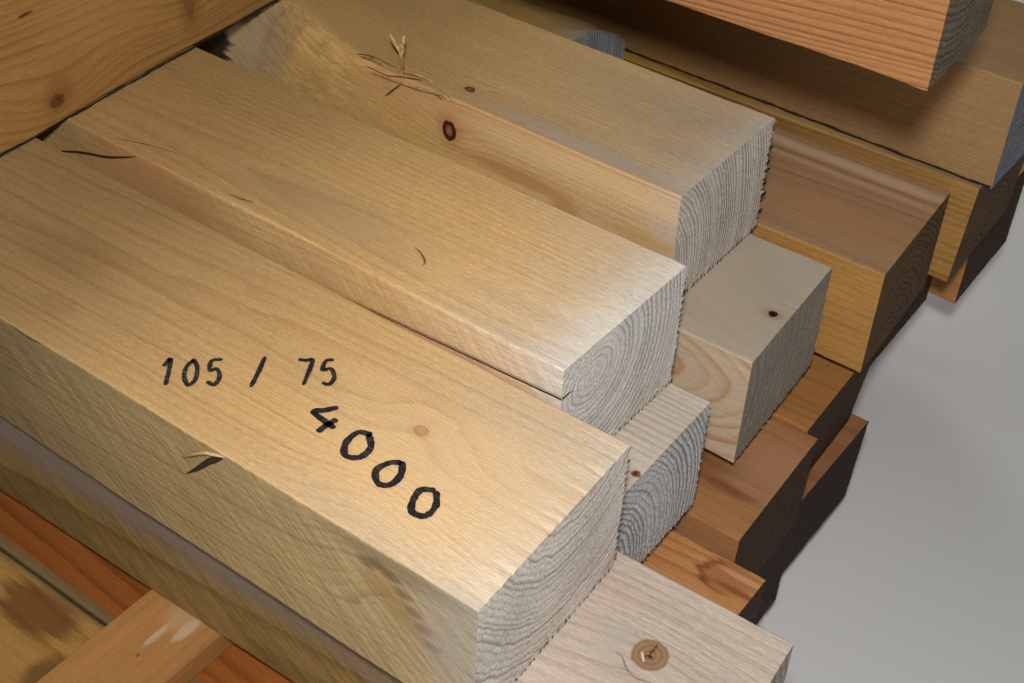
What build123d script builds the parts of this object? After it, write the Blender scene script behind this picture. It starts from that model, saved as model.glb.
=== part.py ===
from build123d import *

import os
from math import atan2, cos, hypot, radians, sin, tan
from typing import NamedTuple

# A stack of sawn building timbers, 75 x 105 mm and 4 m long.
# Four rows lie on ground bearers. Thin battens part the upper two rows from the lower two,
# and one last timber lies on edge across bearers on top.
# X runs along the timbers towards the end that is shown, Y away from the near side, Z up.
# Places in the plan are measured from the end line, x = 0, and the near line, y = 0.
# The finished stack is moved as a whole, so that its origin is at the middle of its foot.

# Sawn timber
timber_width = 105.0
timber_height = 75.0
timber_length = 4000.0

# Ground bearers: low planks laid flat
ground_bearer_width = 100.0
ground_bearer_thickness = 50.0
ground_bearer_length = 1000.0
ground_bearer_near = -82.0
ground_bearer_setback = 260.0
ground_bearer_count = 4

# Battens between the third and the second row
batten_width = 48.0
batten_thickness = 15.0
batten_length = 950.0
batten_near = -30.0
batten_setback = 18.0
batten_count = 4

# Cross bearers under the top timber: the same stock on edge
cross_bearer_length = 900.0
cross_bearer_near = -2.0
cross_bearer_setback = 218.0
cross_bearer_turns = (4.1, -1.0, 0.6)

# Top timber, on edge too
top_timber_out = 175.0
top_timber_near = 392.0
top_timber_skew = -2.5


class Timber(NamedTuple):
    """A timber of a row, placed by its gap to the one on its near side."""

    name: str
    out: float  # how far its end stands out past the end line
    gap: float  # its gap at the end line
    back_gap: float  # its gap one timber length further back
    over: float = 0.0  # sawn wider than the nominal width
    skew: float = 0.0  # end cut, degrees off square in the plan, its far side further out
    lean: float = 0.0  # end cut, degrees off plumb, its foot further back


class Wane(NamedTuple):
    """Where the log's own round surface takes the place of a timber's sawn top arrises.

    The pith is measured from the near top arris. Between start and stop, measured back from the end
    line, the log is thinner than the distance from its pith to that arris, and thinnest from full to
    fade.
    """

    timber: str
    pith_in: float
    pith_down: float
    radius: float  # the log's least radius
    start: float
    full: float
    fade: float
    stop: float


class Shake(NamedTuple):
    """A drying crack in a timber's near side, a wedge from its open mouth to its tail."""

    timber: str
    mouth_back: float  # its mouth, behind the shown end
    mouth_drop: float  # its mouth, below the top
    tail_back: float
    tail_drop: float
    width: float  # how far the mouth stands open
    depth: float


bottom_row = (
    Timber("bottom_row_timber_1", 118, 0, 6),
    Timber("bottom_row_timber_2", 131, 2, 4),
    Timber("bottom_row_timber_3", 122, 14, 9),
    Timber("bottom_row_timber_4", 141, 20, 12),
    Timber("bottom_row_timber_5", 136, 11, 10, 0.0, 0.8, 2.0),
    Timber("bottom_row_timber_6", 42, 44, 36),
    Timber("bottom_row_timber_7", 58, 9, 12),
)
third_row = (
    Timber("third_row_timber_1", 150, 0, 3),
    Timber("third_row_timber_2", 138, 1, 8),
    Timber("third_row_timber_3", 172, 23, 12),
    Timber("third_row_timber_4", 147, 15, 14, -4.0, -1.7, 1.4),
    Timber("third_row_timber_5", 136, 2, 7, 0.0, -1.4, 5.4),
    Timber("third_row_timber_6", 113, 56, 44),
    Timber("third_row_timber_7", 132, 8, 14),
)
second_row = (
    Timber("second_row_timber_1", 232, 128, 40, -1.0, -2.5),
    Timber("second_row_timber_2", 120, 12, 102, 0.0, -0.4),
    Timber("second_row_timber_3", 121, 39, 6, 0.0, -2.4),
    Timber("second_row_timber_4", 143, 12, 25, 2.0, -2.4),
    Timber("second_row_timber_5", 151, 14, 12, 0.0, 0.0, 2.5),
)
upper_row = (
    Timber("upper_row_timber_1", 145, 118, 124, 4.0, -2.0, 0.8),
    Timber("upper_row_timber_2", 93, 21, 43, -3.0, 0.8),
    Timber("upper_row_timber_3", 62, 49, 96, -2.0, -1.2),
    Timber("upper_row_timber_4", -109, 6, 3),
    Timber("upper_row_timber_5", 157, 20, 5),
)
wanes = (
    Wane("upper_row_timber_3", 100.0, 80.0, 101.0, 118.0, 320.0, 560.0, 900.0),
    Wane("upper_row_timber_4", 37.0, 130.0, 102.0, -300.0, -120.0, 1500.0, 2600.0),
)
shakes = (
    Shake("upper_row_timber_2", 0.0, 17.0, 150.0, 25.5, 1.6, 14.0),
    Shake("upper_row_timber_2", 350.0, 29.0, 275.0, 1.0, 3.0, 9.0),
)


def turn_log(wane, end_plane, out):
    """The log of a waney timber: a body turned about its pith.

    end_plane has its origin on the timber's near top arris, out in front of the end line.
    """
    near_radius = hypot(wane.pith_in, wane.pith_down)
    whole_radius = near_radius + timber_height
    pith = end_plane.origin + end_plane.x_dir * wane.pith_in - end_plane.y_dir * wane.pith_down
    start = (wane.start + out, near_radius)
    full = (wane.full + out, wane.radius)
    fade = (wane.fade + out, wane.radius)
    stop = (wane.stop + out, near_radius)
    butt = (min(start[0], 0.0) - timber_height, whole_radius)
    tip = (timber_length + timber_height, whole_radius)
    with BuildPart() as log:
        with BuildSketch(Plane(origin=pith, x_dir=-end_plane.z_dir, z_dir=end_plane.x_dir)):
            with BuildLine():
                Polyline((butt[0], 0), butt, start)
                Spline(start, full, tangents=((1, 0), (1, 0)))
                Line(full, fade)
                Spline(fade, stop, tangents=((1, 0), (1, 0)))
                Polyline(stop, tip, (tip[0], 0), (butt[0], 0))
            make_face()
        revolve(axis=Axis(pith, end_plane.z_dir))
    return log.part


def lay_timber(name, width, height, corner, turn, skew=0.0, lean=0.0):
    """A timber whose near top corner, at the shown end, is at corner.

    turn is its direction in the plan, in radians. The section hangs from the end's plane, with its
    first axis across the timber and its second one up. skew and lean turn the saw cut.
    """
    end_plane = Plane(
        origin=corner, x_dir=(-sin(turn), cos(turn), 0), z_dir=(cos(turn), sin(turn), 0)
    )
    overhang = width * abs(tan(radians(skew)))
    with BuildPart() as timber:
        with BuildSketch(end_plane.offset(overhang)):
            Rectangle(width, height, align=(Align.MIN, Align.MAX))
        extrude(amount=-(timber_length + overhang))
        if skew or lean:
            split(bisect_by=end_plane.rotated((0, lean, -skew)), keep=Keep.BOTTOM)
        for wane in wanes:
            if wane.timber == name:
                add(turn_log(wane, end_plane, corner[0]), mode=Mode.INTERSECT)
        near_side = Plane(origin=corner, x_dir=-end_plane.z_dir, z_dir=-end_plane.x_dir)
        for shake in shakes:
            if shake.timber == name:
                with BuildSketch(near_side):
                    with BuildLine():
                        Polyline(
                            (shake.mouth_back, -shake.mouth_drop),
                            (shake.mouth_back, -shake.mouth_drop - shake.width),
                            (shake.tail_back, -shake.tail_drop),
                            close=True,
                        )
                    make_face()
                extrude(amount=-shake.depth, mode=Mode.SUBTRACT)
    timber.part.label = name
    return timber.part


def lay_row(row, bottom):
    """The timbers of a row, side by side from the near line, with their gaps between them."""
    laid = []
    near_front = near_back = 0.0
    for timber in row:
        width = timber_width + timber.over
        near_front += timber.gap
        near_back += timber.back_gap
        turn = atan2(near_front - near_back, timber_length)
        corner = (timber.out, near_front + timber.out * tan(turn), bottom + timber_height)
        laid.append(
            lay_timber(timber.name, width, timber_height, corner, turn, timber.skew, timber.lean)
        )
        near_front += width / cos(turn)
        near_back += width / cos(turn)
    return laid


def lay_cross_piece(name, width, height, length, corner, turn=0.0):
    """A piece across the stack, with the near end of its shown side at corner."""
    foot = Plane(origin=corner, x_dir=(cos(turn), sin(turn), 0), z_dir=(0, 0, 1))
    with BuildPart() as piece:
        with BuildSketch(foot):
            Rectangle(width, length, align=(Align.MAX, Align.MIN))
        extrude(amount=height)
    piece.part.label = name
    return piece.part


def spread(first_setback, last_setback, count):
    """Places along the stack, from the shown end backwards."""
    step = (last_setback - first_setback) / (count - 1)
    return [-(first_setback + step * number) for number in range(count)]


bearer_width = timber_height
bearer_height = timber_width
back_end = timber_length - 300.0

bottom_row_foot = ground_bearer_thickness
third_row_foot = bottom_row_foot + timber_height
batten_foot = third_row_foot + timber_height
second_row_foot = batten_foot + batten_thickness
upper_row_foot = second_row_foot + timber_height
cross_bearer_foot = upper_row_foot + timber_height
top_timber_foot = cross_bearer_foot + bearer_height

pieces = []
for number, x in enumerate(spread(ground_bearer_setback, back_end, ground_bearer_count), 1):
    corner = (x, ground_bearer_near, 0.0)
    pieces.append(
        lay_cross_piece(
            f"ground_bearer_{number}",
            ground_bearer_width,
            ground_bearer_thickness,
            ground_bearer_length,
            corner,
        )
    )
pieces += lay_row(bottom_row, bottom_row_foot)
pieces += lay_row(third_row, third_row_foot)
for number, x in enumerate(spread(batten_setback, back_end, batten_count), 1):
    corner = (x, batten_near, batten_foot)
    pieces.append(
        lay_cross_piece(f"batten_{number}", batten_width, batten_thickness, batten_length, corner)
    )
pieces += lay_row(second_row, second_row_foot)
pieces += lay_row(upper_row, upper_row_foot)
for number, x in enumerate(spread(cross_bearer_setback, back_end, len(cross_bearer_turns)), 1):
    corner = (x, cross_bearer_near, cross_bearer_foot)
    pieces.append(
        lay_cross_piece(
            f"cross_bearer_{number}",
            bearer_width,
            bearer_height,
            cross_bearer_length,
            corner,
            radians(cross_bearer_turns[number - 1]),
        )
    )
pieces.append(
    lay_timber(
        "top_timber",
        bearer_width,
        bearer_height,
        (top_timber_out, top_timber_near, top_timber_foot + bearer_height),
        0.0,
        top_timber_skew,
    )
)

# The stack's origin: the middle of its foot
bounds = Compound(pieces).bounding_box()
middle = bounds.center()
print("stack", bounds.size, "moved by", -middle.X, -middle.Y, -bounds.min.Z)
os.makedirs("parts", exist_ok=True)
for piece in pieces:
    placed = piece.moved(Location((-middle.X, -middle.Y, -bounds.min.Z)))
    placed.label = piece.label
    export_step(placed, f"parts/{piece.label}.step")
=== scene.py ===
import math
from typing import NamedTuple

import bpy
import numpy as np
from mathutils import Matrix, Vector


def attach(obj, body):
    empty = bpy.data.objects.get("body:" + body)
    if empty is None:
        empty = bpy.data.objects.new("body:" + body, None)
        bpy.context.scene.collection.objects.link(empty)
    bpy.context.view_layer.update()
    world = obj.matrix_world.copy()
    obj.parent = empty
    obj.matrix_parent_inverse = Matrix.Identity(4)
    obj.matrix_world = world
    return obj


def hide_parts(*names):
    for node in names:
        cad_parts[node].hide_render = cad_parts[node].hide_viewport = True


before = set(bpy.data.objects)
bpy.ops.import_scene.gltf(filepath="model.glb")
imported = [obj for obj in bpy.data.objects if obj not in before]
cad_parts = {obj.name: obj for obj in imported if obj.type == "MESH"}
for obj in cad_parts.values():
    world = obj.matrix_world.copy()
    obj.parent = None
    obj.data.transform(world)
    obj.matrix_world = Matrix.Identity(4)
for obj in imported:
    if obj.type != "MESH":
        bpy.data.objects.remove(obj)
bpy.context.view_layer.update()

# A stack of sawn timbers. Each piece gets a skin with worn arrises, a torn saw cut and its own wood,
# in millimetres from the near bottom corner of its shown end: X out along the piece, so that points
# behind its end have X below zero, Y across it away from its near side, Z up.

MM = 0.001
ROW_HEIGHT = 75.0
EDGE_HEIGHT = 105.0
LENGTH = 4000.0
SLOTS = {
    "upper": "fresh_timber",
    "second": "fresh_timber",
    "third": "aged_timber",
    "bottom": "aged_timber",
    "top": "red_timber",
    "cross": "cross_bearer",
    "batten": "fresh_batten",
    "ground": "ground_bearer",
}


def tone(red, green, blue):
    """A screen colour, 0 to 255 a channel, as the linear values that a shader takes."""
    return tuple((c / 255) ** 2.2 for c in (red, green, blue))


# Places of the timbers, read from the CAD nodes


class Place(NamedTuple):
    """Where a timber lies, and how its saw cut leans: X grows by these slopes across and up."""

    corner: tuple
    turn: float
    width: float
    height: float
    slope_across: float
    slope_up: float
    length: float

    def to_row(self, points):
        """Local millimetres to the row frame's metres."""
        c, s = math.cos(self.turn), math.sin(self.turn)
        x, y, z = points[:, 0], points[:, 1], points[:, 2]
        turned = np.stack([c * x - s * y, s * x + c * y, z], 1)
        return turned * MM + np.array(self.corner)


def node_points(node):
    return np.array([tuple(v.co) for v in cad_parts[node].data.vertices])


def furthest(points, x, y, z):
    return points[np.argmax(points @ np.array([x, y, z]))]


def place_of(node, height=ROW_HEIGHT, near_top=True):
    """The place of a timber that runs along X, from the corners of its CAD node.

    A waney timber has lost its near top corner, so its cut is taken as plumb.
    """
    points = node_points(node)
    corner = furthest(points, 0.5, -1, -1)
    behind = furthest(points, -0.5, -1, -1)
    far = furthest(points, 0.5, 1, -1)
    top = furthest(points, 0.5, -1, 1)
    along = (corner - behind) / np.linalg.norm(corner - behind)
    across = np.array([-along[1], along[0], 0])
    width = (far - corner) @ across
    slope_across = (far - corner) @ along / width
    slope_up = (top - corner) @ along / (height * MM) if near_top else 0.0
    turn = math.atan2(along[1], along[0])
    return Place(tuple(corner), turn, width / MM, height, slope_across, slope_up, LENGTH)


def cross_place_of(node):
    """The place of a piece across the stack: its X points out of its near end, its Y to the ends."""
    points = node_points(node)
    corner = furthest(points, -1, -0.5, -1)
    behind = furthest(points, -1, 0.5, -1)
    beside = furthest(points, 1, -0.5, -1)
    height = (points[:, 2].max() - points[:, 2].min()) / MM
    along = corner - behind
    turn = math.atan2(along[1], along[0])
    width = np.linalg.norm(beside - corner) / MM
    length = np.linalg.norm(along) / MM
    return Place(tuple(corner), turn, width, height, 0.0, 0.0, length)


# Shapes of the timbers

UNDER_TOP = 0.01  # a skin's top lies this far under the CAD solid's, to stay inside its box
CUT_REACH = 12.0  # behind the cut, the faces' unevenness comes in over this length
BLEND_DEPTH = 27.0  # where the log has lost this much, the wane's arris is fully rounded
CRACK_ROOM = 0.9  # the mesh's rows lie this far above and below a crack
END_CELLS = (0.3, 0.8, 1.4, 2.2)  # the mesh's closer rows at a corner
STATIONS = (0.3, 0.8, 1.5, 2.5, 4, 6, 9, 13, 18, 25, 34, 45, 60, 78, 100, 125, 150, 175, 200, 225, 250)
FAR_STATIONS = (280, 310, 340, 380, 420, 460, 500, 560, 640, 760, 900, 1200, 1700, 2500, 3300)
WANE_STATIONS = range(176, 420, 4)


def ripple(along, seed, period):
    """A smooth uneven line, about -1 to 1."""
    rng = np.random.default_rng(seed)
    total = np.zeros_like(along, dtype=float)
    for octave in range(4):
        phase = rng.uniform(0, 2 * math.pi)
        pitch = period / (1.9**octave)
        total = total + np.sin(2 * math.pi * along / pitch + phase) / (1.6**octave)
    return total / 2.2


def bites(along, length, count, depth, seed, breadth=1.6):
    """How far an edge is torn in along its length: sharp bites of unlike width and depth."""
    if not count:
        return np.zeros_like(along)
    rng = np.random.default_rng(seed)
    middles = (np.arange(count) + rng.uniform(0.15, 0.85, count)) * length / count
    breadths = breadth * rng.uniform(0.6, 1.6, count)
    depths = depth * rng.uniform(0.25, 1.0, count)
    bite = 1 - np.abs(along[..., None] - middles) / breadths
    return (np.clip(bite, 0, 1) * depths).max(-1)


class Log(NamedTuple):
    """The round log in a waney timber: its pith from the near top arris, its radius back along it."""

    pith_in: float
    pith_down: float
    radius: float
    start: float
    full: float
    fade: float
    stop: float

    def radius_at(self, back):
        whole = math.hypot(self.pith_in, self.pith_down)
        narrowing = soft_step((back - self.start) / (self.full - self.start))
        widening = soft_step((back - self.fade) / (self.stop - self.fade))
        return whole + (self.radius - whole) * narrowing * (1 - widening)


class Split(NamedTuple):
    """A drying crack in the near side, from its mouth to its tail: back and up, in millimetres."""

    mouth: tuple
    tail: tuple
    width: float
    depth: float


class Skin(NamedTuple):
    """How a timber's surface is worn and torn."""

    step: float = 2.0  # size of the mesh's cells at the shown end
    arris: float = 1.2  # radius of its arrises
    wobble: float = 0.35  # how uneven its faces are
    low: tuple = (16, 2.0)  # bites in the cut's bottom edge: number and depth
    far: tuple = (10, 1.4)  # in its far edge
    near: tuple = (6, 0.5)  # in its near edge
    top: tuple = (8, 0.4)  # in its top edge
    tear: float = 6.0  # how far the bites run back
    lifted: float = 0.6  # how far its foot stands off the timber below
    rough: float = 0.16  # relief of the cut
    log: Log = None
    splits: tuple = ()
    seed: int = 1


def soft_step(value):
    value = np.clip(value, 0, 1)
    return value * value * (3 - 2 * value)


def split_line(split, back):
    """Height, half width and depth of a crack at a distance behind the end."""
    share = (back - split.mouth[0]) / (split.tail[0] - split.mouth[0])
    inside = np.clip(share, 0, 1)
    height = split.mouth[1] + (split.tail[1] - split.mouth[1]) * inside
    opened = np.where((share >= 0) & (share <= 1), 1 - inside, 0)
    return height, split.width / 2 * opened, split.depth * np.sqrt(opened)


def section(place, skin, across, up, back):
    """Points of a timber's section. across and up run from 0 to 1, back is behind its end."""
    width, height = place.width, place.height - UNDER_TOP
    fading = np.exp(-back / skin.tear)
    low = bites(across * width, width, *skin.low, skin.seed + 1) * fading
    top = bites(across * width, width, *skin.top, skin.seed + 2) * fading
    near = bites(up * height, height, *skin.near, skin.seed + 3) * fading
    far = bites(up * height, height, *skin.far, skin.seed + 4) * fading
    settle = 1 - np.exp(-back / CUT_REACH)
    wave = skin.wobble * settle
    top = top + wave * (0.5 + 0.5 * ripple(back + 30 * across, skin.seed + 5, 170))
    near = near + wave * (0.5 + 0.5 * ripple(back + 30 * up, skin.seed + 6, 210))
    low = low + (wave + skin.lifted * settle) * (0.6 + 0.4 * ripple(back, skin.seed + 7, 160))
    far = far + wave * (0.5 + 0.5 * ripple(back, skin.seed + 8, 190))
    y = near + (width - far - near) * across
    z = low + (height - top - low) * up
    worn = skin.arris * (1 + 0.45 * ripple(back + 90 * up, skin.seed + 9, 37))
    from_side = np.minimum(y - near, width - far - y)
    from_face = np.minimum(z - low, height - top - z)
    inward_y = np.clip(worn - from_side, 0, None)
    inward_z = np.clip(worn - from_face, 0, None)
    reach = np.hypot(inward_y, inward_z)
    over = (inward_y > 0) & (inward_z > 0) & (reach > worn)
    pull = np.where(over, 1 - worn / np.maximum(reach, 1e-6), 0)
    y = y + np.where(across < 0.5, 1, -1) * inward_y * pull
    z = z + np.where(up < 0.5, 1, -1) * inward_z * pull
    if skin.log:
        uneven = 1 - 0.012 * (1 + ripple(back + 40 * across, skin.seed + 10, 90))
        y, z = keep_in_log(skin.log, height, back, uneven, y, z)
    return y, z


def keep_in_log(log, height, back, uneven, y, z):
    """Points of a section drawn in to the log's own surface, with a rounded arris where it starts."""
    pith = (log.pith_in, height - log.pith_down)
    distance = np.hypot(y - pith[0], z - pith[1])
    radius = log.radius_at(back)
    radius = np.where(radius < distance, radius * uneven, radius)
    blend = 0.01 + 12 * np.clip(log.radius_at(0 * back) - radius, 0, BLEND_DEPTH) / BLEND_DEPTH
    share = np.clip(0.5 + 0.5 * (radius - distance) / blend, 0, 1)
    rounded = radius + (distance - radius) * share - blend * share * (1 - share)
    keep = rounded / np.maximum(distance, 1e-6)
    return pith[0] + (y - pith[0]) * keep, pith[1] + (z - pith[1]) * keep


def shares(length, step, marks=()):
    """Places along an edge from 0 to 1, closer together at its two corners."""
    count = max(4, int(length / step))
    even = np.linspace(0, 1, count + 1)
    corner = np.array(END_CELLS) / length
    return np.unique(np.concatenate([even, corner, 1 - corner, np.array(marks, float)]).round(6))


def timber_mesh(place, skin):
    """A timber's skin: its points, its blocks of faces, of which the first is the cut, and its last ring."""
    marks = []
    for split in skin.splits:
        middle = split.mouth[1] / place.height
        room = CRACK_ROOM / place.height
        marks += [middle - room, middle, middle + room]
    across = shares(place.width, skin.step)
    up = shares(place.height, skin.step, marks)
    grid_up, grid_across = np.meshgrid(up, across, indexing="ij")
    rows, columns = grid_across.shape
    y, z = section(place, skin, grid_across, grid_up, np.zeros_like(grid_across))
    x = place.slope_across * y + place.slope_up * z
    inside = soft_step(np.minimum(np.minimum(y, place.width - y), np.minimum(z, place.height - z)) / 3)
    rng = np.random.default_rng(skin.seed + 20)
    grit = rng.uniform(0, 1, y.shape)
    furrow = 0.5 + 0.5 * ripple(z + 0.35 * y, skin.seed + 21, 6.5)
    x = x - skin.rough * (0.15 + inside * (0.7 * grit + 0.3 * furrow))
    points = [np.stack([x.ravel(), y.ravel(), z.ravel()], 1)]
    index = np.arange(rows * columns).reshape(rows, columns)
    rim = np.concatenate([index[0, :-1], index[:-1, -1], index[-1, :0:-1], index[:0:-1, 0]])
    rim_across = grid_across.ravel()[rim]
    rim_up = grid_up.ravel()[rim]
    cap = np.stack([index[:-1, :-1], index[:-1, 1:], index[1:, 1:], index[1:, :-1]], -1)
    faces = [cap.reshape(-1, 4)]
    stations = {*STATIONS, *FAR_STATIONS, *(WANE_STATIONS if skin.log else ())}
    tail = {place.length - back for back in (0.0, 0.8, 2.0, 4.0)}
    stations = sorted({back for back in stations if back < place.length - 6} | tail)
    ring = rim
    for back in stations:
        depth = np.full(rim.shape, float(back))
        y, z = section(place, skin, rim_across, rim_up, depth)
        share = 1 - back / place.length
        x = (place.slope_across * y + place.slope_up * z) * share - back
        for split in skin.splits:
            y, z = open_split(place, split, rim_across, rim_up, back, y, z)
        start = sum(len(p) for p in points)
        points.append(np.stack([x, y, z], 1))
        following = np.arange(start, start + len(rim))
        faces.append(np.stack([ring, following, np.roll(following, -1), np.roll(ring, -1)], -1))
        ring = following
    for split in skin.splits:
        if split.mouth[0] == 0:
            notch_cap(place, split, points[0], grid_across.ravel(), grid_up.ravel())
    return np.concatenate(points), faces, ring


def open_split(place, split, across, up, back, y, z):
    """The near side's crack: its three marked columns are moved onto its lips and its bottom."""
    height, half, depth = split_line(split, np.array(float(back)))
    start = split.mouth[1]
    middle = start / place.height
    near = across < 1e-6
    ahead = up * place.height
    share = np.clip(np.minimum(ahead / start, (place.height - ahead) / (place.height - start)), 0, 1)
    z = np.where(near, z + (height - start) * share, z)
    room = CRACK_ROOM / place.height
    bottom = near & (np.abs(up - middle) < 1e-5)
    lower = near & (np.abs(up - middle + room) < 1e-5)
    upper = near & (np.abs(up - middle - room) < 1e-5)
    y = np.where(bottom, y + depth, y)
    z = np.where(bottom, height, z)
    z = np.where(lower, height - half - 0.02, z)
    z = np.where(upper, height + half + 0.02, z)
    return y, z


def notch_cap(place, split, points, across, up):
    """The same crack where it comes out at the saw cut."""
    middle = split.mouth[1] / place.height
    room = CRACK_ROOM / place.height
    row = np.abs(up - middle) < 1e-5
    lower = np.abs(up - middle + room) < 1e-5
    upper = np.abs(up - middle - room) < 1e-5
    points[row, 1] = split.depth + (place.width - split.depth) * across[row]
    near = across < 0.15
    points[lower & near, 2] = split.mouth[1] - split.width / 2
    points[upper & near, 2] = split.mouth[1] + split.width / 2


def make_mesh(name, points, faces, materials, face_materials=None):
    mesh = bpy.data.meshes.new(name)
    mesh.from_pydata([tuple(p) for p in points], [], [tuple(int(i) for i in f) for f in faces])
    for material in materials:
        mesh.materials.append(material)
    if face_materials is not None:
        mesh.polygons.foreach_set("material_index", face_materials)
        mesh.polygons.foreach_set("use_smooth", [kind == 0 for kind in face_materials])
    mesh.update()
    piece = bpy.data.objects.new(name, mesh)
    bpy.context.scene.collection.objects.link(piece)
    return piece


def dress(node, wood, skin, place=None):
    """Puts a worn skin with its own wood in the place of a CAD piece."""
    place = place or place_of(node)
    points, faces, last_ring = timber_mesh(place, skin)
    listed = []
    kinds = []
    for number, block in enumerate(faces):
        listed += block.tolist()
        kinds += [1 if number == 0 else 0] * len(block)
    listed.append(last_ring[::-1].tolist())
    kinds.append(1)
    side = side_material(f"{node}_side", place, wood)
    cut = cut_material(f"{node}_cut", place, wood)
    piece = make_mesh(f"{node}_skin", place.to_row(points), listed, [side, cut], kinds)
    slot = SLOTS[node.split("_")[0]]
    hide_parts(node)
    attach(piece, "root")
    return place


# Shader trees


class Tree:
    """A material's node tree, with short ways to add its usual nodes."""

    def __init__(self, name):
        self.material = bpy.data.materials.new(name)
        self.material.use_nodes = True
        self.nodes = self.material.node_tree.nodes
        self.links = self.material.node_tree.links
        self.nodes.clear()
        self.shader = self.add("BsdfPrincipled", {})
        self.add("OutputMaterial", {"Surface": self.shader.outputs["BSDF"]})

    def feed(self, socket, value):
        if isinstance(value, bpy.types.NodeSocket):
            self.links.new(value, socket)
        elif isinstance(value, (tuple, list)) and len(value) == 3 and len(socket.default_value) == 4:
            socket.default_value = (*value, 1.0)
        else:
            socket.default_value = value

    def add(self, kind, values, **settings):
        """A new node with its settings. values go into its inputs, by name or number."""
        node = self.nodes.new(f"ShaderNode{kind}")
        for name, setting in settings.items():
            setattr(node, name, setting)
        for key, value in values.items():
            self.feed(node.inputs[key], value)
        return node

    def calc(self, operation, *values):
        return self.add("Math", dict(enumerate(values)), operation=operation).outputs[0]

    def times(self, first, second):
        return self.calc("MULTIPLY", first, second)

    def line(self, value, slope, start):
        """A value times a slope, from a start."""
        return self.calc("MULTIPLY_ADD", value, slope, start)

    def vector(self, operation, *values):
        node = self.add("VectorMath", dict(enumerate(values)), operation=operation)
        return node.outputs["Value" if operation == "LENGTH" else "Vector"]

    def scale(self, points, factor):
        values = {0: points, "Scale": factor}
        return self.add("VectorMath", values, operation="SCALE").outputs["Vector"]

    def split(self, vector):
        return self.add("SeparateXYZ", {0: vector}).outputs

    def join(self, x, y, z):
        return self.add("CombineXYZ", {0: x, 1: y, 2: z}).outputs[0]

    def noise(self, points, stretch, seed, detail=2.0, roughness=0.5, colour=False):
        """Seeded noise, 0 to 1, whose pattern repeats stretch times a millimetre along each axis."""
        shift = (seed * 7.31 % 97, seed * 3.77 % 89, seed * 5.13 % 83)
        moved = self.vector("MULTIPLY_ADD", points, stretch, shift)
        values = {"Vector": moved, "Scale": 1.0, "Detail": detail, "Roughness": roughness}
        return self.add("TexNoise", values).outputs["Color" if colour else "Fac"]

    def step(self, value, low, high, first=0.0, last=1.0):
        """A soft step from first to last, while value goes from low to high."""
        values = {"Value": value, "From Min": low, "From Max": high, "To Min": first, "To Max": last}
        return self.add("MapRange", values, interpolation_type="SMOOTHSTEP").outputs[0]

    def ramp(self, value, stops):
        node = self.add("ValToRGB", {0: value})
        ramp = node.color_ramp
        while len(ramp.elements) < len(stops):
            ramp.elements.new(0.5)
        for element, (place, level) in zip(ramp.elements, stops):
            element.position = place
            element.color = (level, level, level, 1)
        return node.outputs[0]

    def mix(self, share, first, second, blend="MIX"):
        values = {0: share, 6: first, 7: second}
        return self.add("Mix", values, data_type="RGBA", blend_type=blend).outputs[2]

    def shade(self, colour, value, amount):
        """Makes a colour lighter or darker by a value around 0.5."""
        return self.scale(colour, self.line(value, amount, 1 - amount * 0.5))

    def local(self, place):
        """Points in a timber's own millimetres."""
        values = {
            "Vector": self.add("TexCoord", {}).outputs["Object"],
            "Location": place.corner,
            "Rotation": (0, 0, place.turn),
            "Scale": (MM, MM, MM),
        }
        return self.add("Mapping", values, vector_type="TEXTURE").outputs[0]

    def face_masks(self):
        """How far a face looks to the near side, and whether it slants that way at all."""
        y = self.split(self.add("NewGeometry", {}).outputs["Normal"])[1]
        return self.step(y, -0.6, -0.95), self.step(y, -0.2, -0.5)

    def bump(self, height, distance, strength):
        node = self.add("Bump", {"Strength": strength, "Distance": distance, "Height": height})
        self.links.new(node.outputs[0], self.shader.inputs["Normal"])

    def finish(self, colour, roughness, shine=0.5):
        """The material, with its colour, and how rough and how shiny it is."""
        values = {"Base Color": colour, "Roughness": roughness, "Specular IOR Level": shine}
        for name, value in values.items():
            self.feed(self.shader.inputs[name], value)
        return self.material


# Wood

TAR = (46, 30, 20)
FLECK = (84, 56, 34)
HALO = (0.78, 0.62, 0.5)

class Knot(NamedTuple):
    """A knot in a face, and how the year rings bend round it."""

    middle: tuple
    radius: tuple
    reach: float  # how far round it the rings bend
    lift: float  # how far they bend
    heart: tuple = ()
    rim: tuple = ()
    show: float = 1.0  # with 0 it only bends the rings
    rim_from: float = 0.62  # where its dark rim starts, as a share of its radius
    halo: float = 0.35
    crack: float = 1.0


class StainAndShadePatch(NamedTuple):
    """A patch of another colour on a face, with an uneven edge: most are marks in the wood itself, one is a
    painted shadow.
    """

    middle: tuple
    radius: tuple
    colour: tuple
    amount: float
    soft: float = 0.5


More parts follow.
